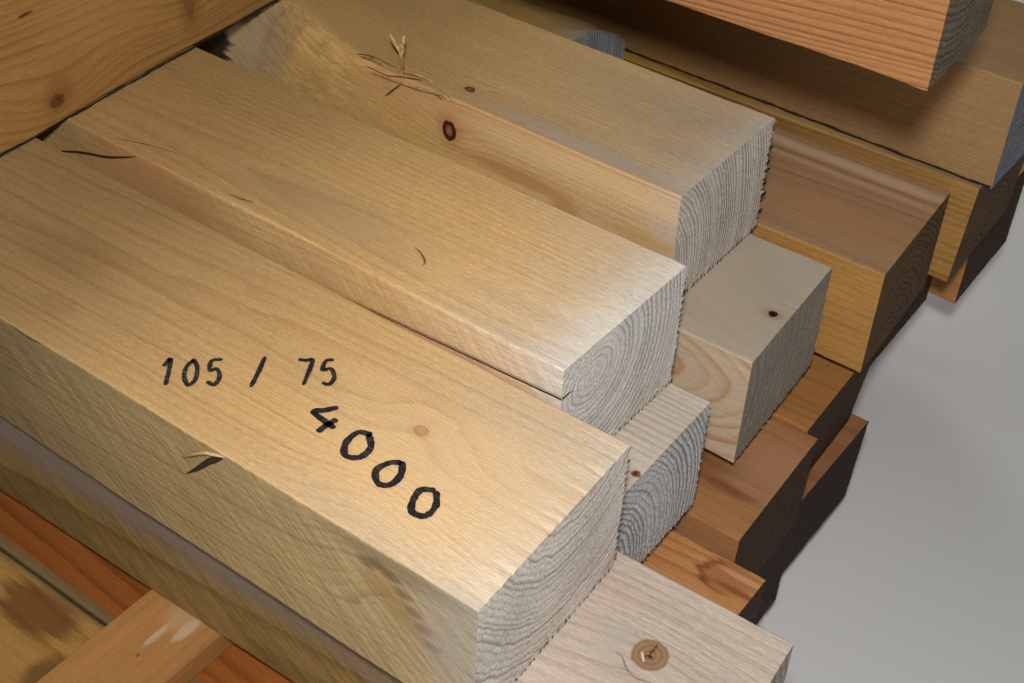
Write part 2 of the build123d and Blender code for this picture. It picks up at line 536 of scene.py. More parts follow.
class Wood(NamedTuple):
    """A timber's colours and grain."""

    early: tuple
    late: tuple
    pale: tuple
    near_early: tuple = None  # the near side's own colours
    near_late: tuple = None
    near_pale: tuple = None
    cut_light: tuple = (176, 166, 152)
    cut_dark: tuple = (112, 100, 88)
    pith: tuple = (52, -30)
    drift: tuple = (0.01, 0.004)  # how the pith wanders across the timber back from its end
    ring: float = 4.0  # width of a year ring
    strength: float = 0.5  # how much its late wood shows
    wander: float = 14.0  # how far the rings stray in long waves
    waver: float = 2.0  # and in short ones
    pale_reach: float = 320.0  # how far back from its end it is pale
    pale_most: float = 0.9
    frost: float = 0.0  # how grey and furry the last few centimetres are
    frost_tone: tuple = (214, 206, 194)
    fibre: float = 0.4
    grain: float = 0.17
    fade: tuple = None  # where along the timber the year rings show less: from, to
    sweep: float = 0.0  # how its fibres curve off to the far side in that stretch
    cloud: float = 0.35
    saw: float = 0.0  # how much the saw's marks show on its near side
    saw_slope: float = 0.25
    cut_strength: float = 0.8
    tuft: float = 0.6  # how many pale tufts its cut has
    deep: float = 0.8  # painted shade for the light's fall-off: how dark it is a third of a metre behind its end and further
    knots: tuple = ()
    stains: tuple = ()
    seed: int = 1


LATE_PROFILE = ((0.0, 0.05), (0.45, 0.12), (0.78, 0.75), (0.9, 1.0), (0.97, 0.55), (1.0, 0.05))


def ring_field(t, points, wood):
    """Late wood, 0 to 1, by distance from the pith, bent by knots."""
    sway = t.noise(points, (0.0035, 0.012, 0.012), wood.seed, 0.0, colour=True)
    waver = t.noise(points, (0.012, 0.11, 0.11), wood.seed + 9, 1.0, colour=True)
    swayed = t.vector("MULTIPLY_ADD", sway, (0, wood.wander, wood.wander), points)
    swayed = t.vector("MULTIPLY_ADD", waver, (0, wood.waver, wood.waver), swayed)
    centre = wood.wander / 2 + wood.waver / 2
    x, y, z = t.split(swayed)
    aside = t.line(x, -wood.drift[0], y)
    above = t.line(x, -wood.drift[1], z)
    flat = t.join(0.0, aside, above)
    flat = t.vector("SUBTRACT", flat, (0, wood.pith[0] + centre, wood.pith[1] + centre))
    distance = t.vector("LENGTH", flat)
    for knot in wood.knots:
        offset = t.vector("SUBTRACT", points, knot.middle)
        stretched = t.vector("DIVIDE", offset, (knot.reach * 1.7, knot.reach, knot.reach))
        length = t.vector("LENGTH", stretched)
        square = t.times(length, length)
        bell = t.calc("EXPONENT", t.times(square, -1.0))
        distance = t.line(bell, knot.lift, distance)
    uneven = t.noise(t.join(distance, 0.0, 0.0), (0.06, 1, 1), wood.seed + 4, 1.0)
    phase = t.line(uneven, 2.4, t.calc("DIVIDE", distance, wood.ring))
    late = t.ramp(t.calc("FRACT", phase), LATE_PROFILE)
    level = t.noise(t.join(phase, 0.0, 0.0), (0.9, 1, 1), wood.seed + 5, 0.0)
    return t.times(late, t.step(level, 0.3, 0.7, 0.45, 1.0))


def add_knots(t, points, colour, wood):
    """Paints the knots: a dark rim, a ringed heart with a crack."""
    for knot in wood.knots:
        if not knot.show:
            continue
        offset = t.vector("SUBTRACT", points, knot.middle)
        jitter = t.noise(points, (0.25, 0.25, 0.25), wood.seed + 31, 1.0, colour=True)
        offset = t.vector("MULTIPLY_ADD", jitter, (1.6, 1.6, 1.6), offset)
        offset = t.vector("SUBTRACT", offset, (0.8, 0.8, 0.8))
        length = t.vector("LENGTH", t.vector("DIVIDE", offset, knot.radius))
        ringed = t.ramp(t.calc("FRACT", t.times(length, 3.2)), ((0, 0.7), (0.6, 1), (1, 0.6)))
        heart = t.scale(tone(*knot.heart), ringed)
        rim = t.step(length, knot.rim_from, knot.rim_from + 0.33)
        disc = t.mix(rim, heart, tone(*knot.rim))
        crack = t.noise(points, (0.5, 0.12, 0.12), wood.seed + 33, 2.0)
        crack = t.times(t.step(crack, 0.56, 0.6), t.step(length, 0.75, 0.4, 0.0, knot.crack))
        disc = t.mix(crack, disc, tone(*TAR))
        shown = t.step(length, 1.12, 0.94, 0.0, knot.show)
        colour = t.mix(shown, colour, disc)
        halo = t.times(t.step(length, 2.6, 1.0, 0.0, knot.halo), knot.show)
        colour = t.mix(halo, colour, t.mix(1.0, colour, HALO, "MULTIPLY"))
    return colour


def add_stains(t, points, colour, wood):
    """Paints the patches, which share one uneven edge: marks in the wood, and one painted shadow."""
    if not wood.stains:
        return colour
    jitter = t.noise(points, (0.025, 0.3, 0.3), wood.seed + 41, 2.0, colour=True)
    for stain in wood.stains:
        offset = t.vector("DIVIDE", t.vector("SUBTRACT", points, stain.middle), stain.radius)
        offset = t.vector("MULTIPLY_ADD", jitter, (0.9, 0.9, 0.9), offset)
        length = t.vector("LENGTH", t.vector("SUBTRACT", offset, (0.45, 0.45, 0.45)))
        shown = t.step(length, 1 + stain.soft, 1 - stain.soft, 0.0, stain.amount)
        colour = t.mix(shown, colour, tone(*stain.colour))
    return colour


def bent(t, points, wood):
    """Points whose fibres curve off to the far side, behind the place where the rings fade."""
    x, y, z = t.split(points)
    past = t.calc("MINIMUM", t.calc("SUBTRACT", x, wood.fade[1]), 0.0)
    bend = t.times(t.times(past, past), -wood.sweep)
    return t.join(x, t.calc("ADD", y, bend), t.calc("ADD", z, bend))


def side_tones(t, nearward, wood):
    """The tones of early, late and pale wood, with the near side's own where it has them."""
    tones = [tone(*wood.early), tone(*wood.late), tone(*wood.pale)]
    if not wood.near_early:
        return tones
    near = (wood.near_early, wood.near_late or wood.late, wood.near_pale or wood.pale)
    return [t.mix(nearward, first, tone(*second)) for first, second in zip(tones, near)]


def pale_end(t, x, late, cloud, tones, wood):
    """Ringed wood that goes pale towards the shown end."""
    early_tone, late_tone, pale_tone = tones
    colour = t.mix(t.times(late, wood.strength), early_tone, late_tone)
    reach = t.line(cloud, 90.0, t.line(x, -1.0, -45.0))
    paling = t.step(reach, wood.pale_reach, -30.0, 0.0, wood.pale_most)
    pale_tone = t.mix(t.times(late, wood.strength * 0.55), pale_tone, late_tone)
    return t.mix(paling, colour, pale_tone)


def add_wane_lines(t, points, x, slanting, colour, wood):
    """Fine curved lines where the log's own surface shows."""
    lines = t.step(t.noise(points, (0.003, 0.42, 0.42), wood.seed + 8, 3.0, 0.6), 0.3, 0.7)
    zone = t.times(t.step(x, -190.0, -260.0), slanting)
    lines = t.line(t.calc("SUBTRACT", lines, 0.5), zone, 0.5)
    return t.shade(colour, lines, 0.36)


def add_saw_marks(t, points, nearward, colour, wood):
    """Slanting marks of the saw on the near side."""
    x, y, z = t.split(points)
    leaning = t.line(z, wood.saw_slope, x)
    marks = t.noise(t.join(leaning, y, z), (0.55, 0.04, 0.04), wood.seed + 6, 2.0)
    marks = t.calc("SUBTRACT", t.step(marks, 0.35, 0.65), 0.5)
    return t.shade(colour, t.line(marks, nearward, 0.5), wood.saw)


def paint_falloff_shade(t, x, colour, wood):
    """Painted shade for the light's fall-off: wood that is darker from a third of a metre behind the end,
    and as at the end further back.
    """
    behind = t.step(x, -330.0, -90.0, wood.deep, 1.0)
    further = t.step(x, -1600.0, -700.0, 1 / wood.deep, 1.0)
    return t.scale(colour, t.times(behind, further))


def side_material(name, place, wood):
    """Sawn wood of a timber's long faces."""
    t = Tree(name)
    straight = t.local(place)
    x = t.split(straight)[0]
    nearward, slanting = t.face_masks()
    points = bent(t, straight, wood) if wood.sweep else straight
    late = ring_field(t, points, wood)
    if wood.fade:
        late = t.times(late, t.step(x, *wood.fade, 0.25, 1.0))
    cloud = t.noise(points, (0.007, 0.035, 0.035), wood.seed + 2, 2.0)
    fibre = t.noise(points, (0.014, 1.0, 1.0), wood.seed + 1, 3.0, 0.6)
    grain = t.step(t.noise(points, (0.3, 1.5, 1.5), wood.seed + 3, 2.0, 0.6), 0.3, 0.7)
    fleck = t.noise(points, (0.12, 0.8, 0.8), wood.seed + 7, 1.0)
    colour = pale_end(t, x, late, cloud, side_tones(t, nearward, wood), wood)
    if wood.sweep:
        colour = add_wane_lines(t, points, x, slanting, colour, wood)
    if wood.frost:
        close = t.line(fibre, 60.0, t.line(x, -1.0, -30.0))
        colour = t.mix(t.step(close, 34.0, -12.0, 0.0, wood.frost), colour, tone(*wood.frost_tone))
    for value, amount in ((fibre, wood.fibre), (grain, wood.grain), (cloud, wood.cloud)):
        colour = t.shade(colour, value, amount)
    # painted shade: darker behind the end, standing in for the light's fall-off
    colour = paint_falloff_shade(t, x, colour, wood)
    if wood.saw:
        colour = add_saw_marks(t, straight, nearward, colour, wood)
    colour = t.shade(colour, fleck, 0.22)
    colour = t.mix(t.step(fleck, 0.74, 0.8, 0.0, 0.4), colour, tone(*FLECK))
    colour = add_stains(t, straight, colour, wood)
    colour = add_knots(t, straight, colour, wood)
    height = t.line(grain, 1.2 * wood.grain, t.times(fibre, 2.0 * wood.fibre))
    t.bump(height, 0.0006, 0.8)
    return t.finish(colour, 0.72, 0.15)


def cut_material(name, place, wood):
    """The saw cut across the timber: year rings as ridges, torn up by the saw."""
    t = Tree(name)
    points = t.local(place)
    late = ring_field(t, points, wood)
    grit = t.noise(points, (1.2, 1.2, 1.2), wood.seed + 13, 2.0, 0.7)
    broken = t.times(late, t.step(grit, 0.2, 0.5, 0.5, 1.0))
    rings = t.times(broken, wood.cut_strength)
    colour = t.mix(rings, tone(*wood.cut_light), tone(*wood.cut_dark))
    cloud = t.noise(points, (0.035, 0.035, 0.035), wood.seed + 12, 2.0)
    colour = t.shade(colour, cloud, 0.5)
    colour = t.shade(colour, grit, 0.6)
    speck = t.noise(points, (1.2, 1.2, 0.6), wood.seed + 14, 1.0)
    bright = tuple(min(255, c + 50) for c in wood.cut_light)
    tuft = t.times(t.step(speck, 0.5, 0.66), t.step(late, 0.5, 0.1, 0.2, wood.tuft))
    colour = t.mix(tuft, colour, tone(*bright))
    colour = t.mix(t.step(speck, 0.4, 0.3, 0.0, 0.6), colour, tone(*wood.cut_dark))
    height = t.line(late, -0.6, t.line(tuft, 0.5, grit))
    t.bump(height, 0.0009, 0.85)
    return t.finish(colour, 0.8, 0.25)


# Cracks, slivers, pen marks, and dark strips of painted shade

TOP = (0, 0, 1)
NEAR = (0, -1, 0)
END = (1, 0, 0)


class Shape:
    """Points and faces of one mesh, collected from several strips and slivers, in millimetres."""

    def __init__(self):
        self.points = []
        self.faces = []

    def strip(self, line, widths, normal, lift=0.12):
        """A flat strip along a line on a face."""
        line = np.array(line, float)
        tangents = np.gradient(line, axis=0)
        sides = np.cross(normal, tangents)
        sides /= np.linalg.norm(sides, axis=1)[:, None]
        raised = line + np.array(normal, float) * lift
        half = np.array(widths, float)[:, None] / 2
        start = len(self.points)
        for left, right in zip(raised - sides * half, raised + sides * half):
            self.points += [left, right]
        for number in range(len(line) - 1):
            first = start + 2 * number
            self.faces.append([first, first + 1, first + 3, first + 2])

    def sliver(self, line, widths, flatness=0.5):
        """A four-sided splinter along a line, thin at its tip."""
        line = np.array(line, float)
        tangents = np.gradient(line, axis=0)
        sides = np.cross((0.31, 0.2, 0.93), tangents)
        sides /= np.linalg.norm(sides, axis=1)[:, None]
        ups = np.cross(tangents, sides)
        ups /= np.linalg.norm(ups, axis=1)[:, None]
        start = len(self.points)
        for point, side, up, width in zip(line, sides, ups, widths):
            across = side * width / 2
            over = up * width / 2 * flatness
            self.points += [point + across, point + over, point - across, point - over]
        for number in range(len(line) - 1):
            for corner in range(4):
                first = start + 4 * number + corner
                second = start + 4 * number + (corner + 1) % 4
                self.faces.append([first, second, second + 4, first + 4])
        self.faces.append([start + 3, start + 2, start + 1, start])
        last = start + 4 * (len(line) - 1)
        self.faces.append([last, last + 1, last + 2, last + 3])

    def stroke(self, corners, width, normal, tip=0.15, lift=0.12):
        """A strip along a smooth line, thin at both ends."""
        line = smooth_line(corners)
        self.strip(line, tapered(len(line), width, tip), normal, lift)

    def splinter(self, corners, width, tip, flatness):
        """A sliver along a smooth line, thin at both ends."""
        line = smooth_line(corners)
        self.sliver(line, tapered(len(line), width, tip), flatness)

    def make(self, name, place, material):
        piece = make_mesh(name, place.to_row(np.array(self.points)), self.faces, [material])
        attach(piece, "root")


def smooth_line(corners, steps=6):
    """A line through its corners, rounded off, as points."""
    corners = [np.array(c, float) for c in corners]
    padded = [2 * corners[0] - corners[1], *corners, 2 * corners[-1] - corners[-2]]
    points = []
    for before, first, second, after in zip(padded, padded[1:], padded[2:], padded[3:]):
        for number in range(steps):
            u = number / steps
            bend = (2 * before - 5 * first + 4 * second - after) * u * u
            turn = (3 * first - before - 3 * second + after) * u**3
            points.append(0.5 * (2 * first + (second - before) * u + bend + turn))
    points.append(corners[-1])
    return np.array(points)


def tapered(count, width, tip=0.15):
    """Widths along a line, full in its middle and thin at both ends."""
    place = np.linspace(0, 1, count)
    return width * (tip + (1 - tip) * np.sin(math.pi * place) ** 0.7)


DIGITS = {
    "0": (((0.4, 1.0), (0.1, 0.72), (0.06, 0.3), (0.3, 0.02), (0.6, 0.25), (0.62, 0.7), (0.36, 0.98)),),
    "1": (((0.1, 0.74), (0.36, 1.0), (0.33, 0.5), (0.32, 0.0)),),
    "4": (
        ((0.42, 1.0), (0.2, 0.62), (0.02, 0.34), (0.4, 0.33), (0.72, 0.36)),
        ((0.56, 0.62), (0.52, 0.3), (0.5, -0.08)),
    ),
    "5": (((0.66, 1.0), (0.2, 0.96), (0.14, 0.58), (0.5, 0.6), (0.66, 0.3), (0.42, 0.02), (0.06, 0.1)),),
    "7": (((0.04, 0.96), (0.4, 1.0), (0.7, 0.98), (0.48, 0.5), (0.3, 0.0)),),
    "/": (((0.0, -0.1), (0.3, 0.5), (0.55, 1.1)),),
}


def write_numbers(shape, text, start, along, upward, size, pen, seed):
    """Pen strokes of a number on a top face. along and upward are one digit's advance and height."""
    rng = np.random.default_rng(seed)
    along = np.array([*along, 0.0])
    upward = np.array([*upward, 0.0])
    for number, sign in enumerate(text):
        for stroke in DIGITS.get(sign, ()):
            corners = []
            for x, y in stroke:
                shaken = rng.normal(0, 0.025, 2)
                offset = along * (number + (x + shaken[0]) * size[0]) + upward * (y + shaken[1]) * size[1]
                corners.append(np.array(start, float) + offset)
            line = smooth_line(corners)
            widths = pen * (0.85 + 0.3 * rng.random(len(line)))
            widths[0] *= 0.6
            widths[-1] *= 0.5
            shape.strip(line, widths, TOP)


def plain_material(name, colour, other, stretch, roughness=0.7, later=0.0):
    """Two colours in an uneven mixture."""
    t = Tree(name)
    points = t.scale(t.add("TexCoord", {}).outputs["Object"], 1 / MM)
    share = t.step(t.noise(points, stretch, 3, 2.0), 0.4 + later, 0.62 + later / 2)
    return t.finish(t.mix(share, tone(*colour), tone(*other)), roughness)


def add_numbers(place):
    """The timber's size in plain numbers, written on its top with a broad pen."""
    ink = plain_material("ink", (18, 18, 22), (82, 68, 54), (0.3, 1.8, 1.8), 0.6, 0.12)
    shape = Shape()
    write_numbers(shape, "105 / 75", (-181, 13, 75), (7.6, 6.1), (-12.5, 14.2), (0.95, 0.9), 2.1, 5)
    write_numbers(shape, "4000", (-117, 36, 75), (21, -4.4), (-2, 17.0), (0.85, 0.95), 3.0, 8)
    shape.make("pen_numbers", place, ink)


def add_first_gash(place):
    """The torn gash in the first timber's near side, with its pale lip. Its hollow, and a short split by the
    top arris, are dark strips of painted shade.
    """
    dark = plain_material("gash", (26, 17, 10), (44, 30, 18), (0.3, 1, 1))
    shape = Shape()
    line = smooth_line([(-155, 0, 48), (-147, 0, 56), (-139, 0, 65), (-130, 0, 73)])
    widths = np.interp(np.linspace(0, 1, len(line)), (0, 0.35, 0.8, 1), (0.3, 2.2, 3.2, 1.6))
    shape.strip(line, widths, NEAR, 0.15)
    shape.stroke([(-262, 0, 75), (-252, 0, 73.5), (-242, 0, 74.6)], 0.8, NEAR)
    shape.make("first_gash", place, dark)
    lip = plain_material("gash_lip", (206, 178, 132), (182, 148, 100), (0.02, 0.8, 0.8))
    shape = Shape()
    corners = [(-156, -0.4, 57), (-147, -1.2, 65), (-138, -1.0, 71.5), (-128, -0.2, 74.4)]
    shape.splinter(corners, 4.0, 0.15, 0.35)
    shape.make("first_gash_lip", place, lip)


def add_second_cracks(place):
    """The cracks in the second timber's near side, the first of which comes out at its cut; drawn as dark
    strips of painted shade for their hollows.
    """
    dark = plain_material("second_crack_shades", (48, 30, 18), (78, 50, 30), (0.3, 1, 1))
    shape = Shape()
    shape.stroke([(-352, 0, 46), (-325, 0, 56), (-300, 0, 63), (-276, 0, 73)], 1.7, NEAR, lift=0.15)
    line = smooth_line([(0, 0, 58), (-50, 0, 55.2), (-100, 0, 52.3), (-150, 0, 49.5)])
    shape.strip(line, np.linspace(1.2, 0.3, len(line)), NEAR, 0.2)
    shape.strip([(-0.05, 0, 58), (-0.05, 5, 58.4), (-0.05, 9, 57.4)], (1.6, 1.1, 0.3), END, 0.2)
    shape.make("second_crack_shades", place, dark)


def add_second_marks(place):
    """Short brown scratches on the second timber's top."""
    brown = plain_material("second_marks", (112, 80, 48), (140, 102, 64), (0.3, 1, 1))
    shape = Shape()
    shape.stroke([(-296, 3.5, 75), (-284, 7.5, 75), (-272, 11.5, 75), (-258, 14, 75)], 0.8, TOP)
    shape.stroke([(-212, 4.4, 75), (-203, 5.2, 75), (-196, 7, 75)], 1.1, TOP)
    shape.stroke([(-110, 29, 75), (-104, 27, 75), (-98, 23, 75), (-97, 20, 75)], 1.2, TOP)
    shape.make("second_marks", place, brown)


def add_third_splinters(place):
    """The torn spot on the third timber's near arris: a forked splinter, a band and a curl."""
    pale = plain_material("splinters", (214, 178, 122), (180, 138, 86), (0.3, 0.8, 0.8))
    shape = Shape()
    shape.splinter([(-191, 1, 74), (-190, 0, 82), (-190, -1, 91), (-188, -2, 97)], 5.0, 0.6, 0.5)
    shape.splinter([(-189.5, -1, 90), (-193, -2, 96), (-197, -2, 101)], 3.4, 0.5, 0.5)
    shape.splinter([(-188, -2, 95), (-187, -2, 99), (-187, -1, 103)], 3.0, 0.5, 0.5)
    band = [(-214, -1, 70), (-196, -1.4, 72), (-176, -1.5, 73.5), (-158, -1.2, 76), (-153, -2, 74)]
    shape.splinter(band, 5.0, 0.3, 0.35)
    shape.splinter([(-204, 2, 75.5), (-192, 3, 77), (-180, 4, 78), (-172, 6, 76)], 3.6, 0.3, 0.35)
    shape.splinter([(-226, 4, 74), (-214, 4, 76), (-202, 3, 76), (-193, 2, 75)], 6.5, 0.4, 0.2)
    shape.make("third_splinters", place, pale)


def add_torn_edges(place):
    """Brown fibres along the torn spot on the third timber."""
    brown = plain_material("torn_edges", (98, 62, 36), (146, 98, 60), (0.3, 1, 1))
    shape = Shape()
    line = [(-218, 0, 72.5), (-204, 0, 71.5), (-194, 0, 74), (-184, 0, 76.5), (-176, 1, 78)]
    shape.splinter(line, 1.2, 0.3, 0.7)
    shape.splinter([(-228, 3, 75), (-222, 5, 76), (-212, 5, 76.4), (-204, 5, 76)], 1.1, 0.3, 0.7)
    shape.splinter([(-200, -4, 61), (-195, -4, 66), (-188, -2, 73)], 1.1, 0.4, 0.8)
    shape.splinter([(-170, -1.6, 74.4), (-163, -2, 74.5), (-158, -2.2, 73)], 1.1, 0.3, 0.7)
    shape.make("torn_edges", place, brown)


def add_knot_marks(place):
    """The cracks and pale fleck in the knot of the second row's first timber, and the swirl beside it."""
    dark = plain_material("knot_cracks", (84, 52, 32), (118, 82, 56), (0.6, 1, 1))
    shape = Shape()
    crack = [(-51.2, 68.2, 75), (-50.9, 65.6, 75), (-51.2, 62.8, 75), (-50.2, 60.2, 75)]
    shape.stroke(crack, 1.3, TOP, 0.3, 0.14)
    shape.stroke([(-48.6, 60.6, 75), (-50.6, 60.8, 75), (-53.4, 59.4, 75)], 1.5, TOP, 0.2, 0.14)
    shape.make("knot_cracks", place, dark)
    pale = plain_material("knot_fleck", (214, 184, 158), (196, 160, 130), (0.4, 1, 1))
    shape = Shape()
    shape.strip([(-54.4, 61.0, 75), (-53.2, 59.4, 75), (-51.2, 57.0, 75)], (0.8, 1.3, 0.8), TOP, 0.16)
    shape.make("knot_fleck", place, pale)
    grey = plain_material("knot_swirl", (112, 98, 84), (146, 130, 114), (0.4, 1, 1))
    shape = Shape()
    swirl = ((-63.4, 54.4), (-59.6, 53.6), (-56.6, 50.8), (-53.2, 48.8), (-49.4, 48.0), (-43.2, 49.8))
    shape.stroke([(*corner, 75) for corner in swirl], 0.9, TOP, 0.3)
    shape.make("knot_swirl", place, grey)


def add_far_splinters(place):
    """Long fibres torn out along the third timber's far edge, each over a dark sliver of painted shade for
    the hollow it left.
    """
    pale = plain_material("far_splinters", (206, 184, 144), (150, 118, 82), (0.4, 0.4, 0.4))
    dark = plain_material("far_hole_shadows", (20, 13, 9), (36, 25, 16), (0.4, 0.4, 0.4))
    splinters = Shape()
    hole_shadows = Shape()
    width = place.width
    front = place.slope_across * width
    for height, reach in ((13, 5.0), (24, 7.5), (32, 4.0), (41, 6.5), (47, 3.5), (56, 4.5)):
        foot = np.array([front - 1.5, width - 2.2, height])
        tip = foot + np.array([1.0, reach, -0.12 * reach])
        middle = (foot + tip) / 2 + np.array([0.3, 0, 0.8])
        splinters.sliver([foot, middle, tip], [2.2, 1.7, 0.3], 0.5)
        foot = np.array([front - 0.4, width + 0.3, height - 1.4])
        hole_shadows.sliver([foot - (0, 3, 0), foot, foot + (0, reach * 0.6, 0)], [1.0, 2.6, 1.6], 0.7)
    splinters.make("third_far_splinters", place, pale)
    hole_shadows.make("third_far_hole_shadows", place, dark)


def add_painted_gap_shadow(name, place, across, outward, reach, widths, seed):
    """Painted shadow: an uneven black line along a bottom arris, where it doesn't touch the piece below."""
    rng = np.random.default_rng(seed)
    dark = plain_material(name, (22, 15, 9), (52, 38, 22), (0.3, 1, 1))
    shape = Shape()
    back = np.linspace(0.5, reach, int(reach / 5))
    rise = 1.6 + 0.5 * ripple(back, seed + 1, 40)
    line = np.stack([-back, np.full_like(back, across), rise], 1)
    shape.strip(line, rng.uniform(*widths, len(back)), (0, outward, 0), 0.3)
    shape.make(name, place, dark)


def add_fuzz(node, place, count, seed, length=2.4):
    """Short fibres that the saw left along the bottom and far edges of a cut."""
    rng = np.random.default_rng(seed)
    shape = Shape()
    for number in range(count):
        reach = length * rng.uniform(0.35, 1.0)
        if number % 2:
            foot = np.array([0.0, rng.uniform(1, place.width - 1), rng.uniform(0.1, 1.2)])
            way = np.array([0.9, rng.normal(0, 0.35), -0.25])
        else:
            foot = np.array([0.0, place.width - rng.uniform(0.1, 1.2), rng.uniform(1, place.height - 1)])
            way = np.array([0.6, 0.75, rng.normal(0, 0.35)])
        foot[0] = place.slope_across * foot[1] + place.slope_up * foot[2] - 0.8
        way *= reach / np.linalg.norm(way)
        middle = foot + way * 0.6 + rng.normal(0, 0.15, 3)
        shape.sliver([foot, middle, foot + way], [0.75, 0.5, 0.12], 0.6)
    material = plain_material(f"{node}_fuzz", (206, 190, 164), (150, 126, 98), (0.4, 0.4, 0.4))
    shape.make(f"{node}_fuzz", place, material)


def add_painted_nick_shadows(node, place, seed, low, far, size):
    """Painted shade of the notches that the saw tore at the cut's edges, as flat dark strips: their number,
    first and last place.
    """
    rng = np.random.default_rng(seed)
    shape = Shape()

    def nick(across, up, way, reach):
        line = []
        for share in (0.0, 0.5, 1.0):
            y = across + way[0] * reach * share
            z = up + way[1] * reach * share
            line.append((place.slope_across * y + place.slope_up * z, y, z))
        breadth = rng.uniform(0.9, 1.9)
        shape.strip(line, [breadth, breadth * 0.8, 0.25], END, 0.3)

    for middle in np.linspace(low[1], low[2], low[0]):
        across = middle + rng.normal(0, 0.5)
        way = (rng.normal(0.25, 0.2), 1.0)
        nick(across, -0.2, way, size * rng.uniform(0.4, 1.0))
    for middle in np.linspace(far[1], far[2], far[0]):
        up = middle + rng.normal(0, 0.5)
        way = (-1.0, rng.normal(0.1, 0.2))
        nick(place.width + 0.2, up, way, size * rng.uniform(0.4, 1.0))
    material = plain_material(f"{node}_nick_shadows", (24, 17, 12), (46, 33, 22), (0.5, 0.5, 0.5))
    shape.make(f"{node}_nick_shadows", place, material)


# The timbers' woods and skins

WANEY_LOG = Log(100.0, 80.0, 101.0, 180.0, 382.0, 622.0, 962.0)
ROUND_LOG = Log(37.0, 130.0, 102.0, -409.0, -229.0, 1391.0, 2491.0)
SIDE_CRACK = Split((0.0, 58.0), (150.0, 49.5), 1.6, 14.0)
WANEY_WOOD = Wood(
    early=(202, 163, 106), late=(170, 128, 80), pale=(170, 151, 124),
    near_early=(214, 172, 108), near_late=(180, 126, 70), near_pale=(206, 174, 132),
    cut_light=(230, 219, 204), cut_dark=(124, 110, 94),
    pith=(-38, 22), drift=(0.0, 0.0), ring=2.8, strength=0.55, wander=7.0, tuft=0.45, fibre=0.35,
    pale_reach=210.0, frost=0.7, frost_tone=(190, 180, 166), deep=1.0, fade=(-240.0, -175.0), sweep=0.0011,
    knots=(
        Knot((-155, 0, 53), (5.0, 8, 6.6), 12, 5, (164, 124, 92), (74, 42, 28), 1.0, 0.3, 0.5, 0.0),
        Knot((-152, 15, 75), (3.6, 2.6, 5), 9, 5, (128, 100, 72), (66, 46, 32), 0.9, 0.35, 0.35, 0.0),
    ),
    stains=(
        StainAndShadePatch((-150, 0, 62), (16, 8, 8), (196, 128, 80), 0.4),
        StainAndShadePatch((-325, 8, 46), (34, 26, 34), (150, 142, 128), 0.5),
        # painted shadow: a near-black patch on the wane, where the cross bearer shades it
        StainAndShadePatch((-376, 8, 36), (30, 16, 22), (26, 20, 15), 0.95, 0.15),
        StainAndShadePatch((-70, 0, 64), (100, 8, 7), (226, 192, 142), 0.5),
        StainAndShadePatch((-60, 0, 74), (90, 6, 2.2), (204, 150, 106), 0.3),
        StainAndShadePatch((-66, 8, 75), (60, 6, 5), (166, 156, 146), 0.5),
        StainAndShadePatch((-104, 0, 43), (38, 8, 4.5), (176, 120, 68), 0.6),
        StainAndShadePatch((-72, 0, 36), (9, 6, 5), (166, 118, 62), 0.5),
        StainAndShadePatch((-18, 0, 39), (22, 6, 4.5), (196, 150, 84), 0.6),
        StainAndShadePatch((-195, 0, 68), (30, 8, 14), (206, 150, 104), 0.35),
    ),
    seed=37,
)


def side_knot_stains():
    """The slanting knot that shows in the first timber's near side: golden, with a brown upper rim."""
    shade = StainAndShadePatch((-36, 0, 70), (34, 1.5, 6), (128, 110, 88), 0.6, 0.4)
    heart = [
        StainAndShadePatch((x, 0, z), (8, 6, 6.5), (150, 116, 66), 0.5) for x, z in ((-47, 57), (-39, 50), (-31, 42))
    ]
    rim = [
        StainAndShadePatch((x, 0, z), (4.5, 3, 2.6), (92, 68, 46), 0.5)
        for x, z in ((-54, 63), (-48, 66), (-41, 64), (-35, 58), (-30, 51), (-25, 44), (-21, 37))
    ]
    return (shade, *heart, *rim)


def dress_upper_first():
    """The front timber, with the numbers, the gash and the knots."""
    wood = Wood(
        early=(204, 164, 110), late=(172, 126, 72), pale=(202, 183, 158),
        near_early=(166, 141, 98), near_late=(126, 102, 66), near_pale=(182, 158, 118),
        cut_light=(234, 222, 208), cut_dark=(136, 126, 114),
        pith=(72, 104), drift=(0.03, -0.01), ring=3.4, waver=4.0, strength=0.6, saw=0.38, saw_slope=1.1,
        pale_reach=150.0, frost=0.3, fibre=0.22, deep=0.6, grain=0.2,
        knots=(
            Knot((-76, 61, 75), (3.6, 3.0, 8), 14, 7, (190, 146, 98), (160, 112, 70), 0.6, 0.5, 0.4, 0.3),
            Knot((-65, 19, 75), (1, 1, 1), 17, 9, show=0.0),
            Knot((-36, 0, 52), (1, 1, 1), 20, 16, show=0.0),
        ),
        stains=(
            *side_knot_stains(),
            StainAndShadePatch((-4, 0, 50), (24, 8, 30), (158, 152, 140), 0.5),
            StainAndShadePatch((-52, 50, 75), (60, 34, 6), (226, 184, 128), 0.35),
            StainAndShadePatch((-285, 52, 75), (26, 16, 6), (128, 98, 60), 0.25),
            StainAndShadePatch((-258, 22, 75), (12, 7, 6), (128, 98, 60), 0.25),
            StainAndShadePatch((-196, 86, 75), (7, 3, 6), (150, 120, 84), 0.3),
        ),
        seed=11,
    )
    skin = Skin(step=1.0, low=(30, 2.4), far=(22, 3.0), top=(13, 1.5), lifted=1.1, seed=11)
    place = dress("upper_row_timber_1", wood, skin)
    add_numbers(place)
    add_first_gash(place)
    add_fuzz("upper_row_timber_1", place, 30, 12)
    add_painted_nick_shadows("upper_row_timber_1", place, 13, (22, 30, 103), (18, 4, 66), 3.0)


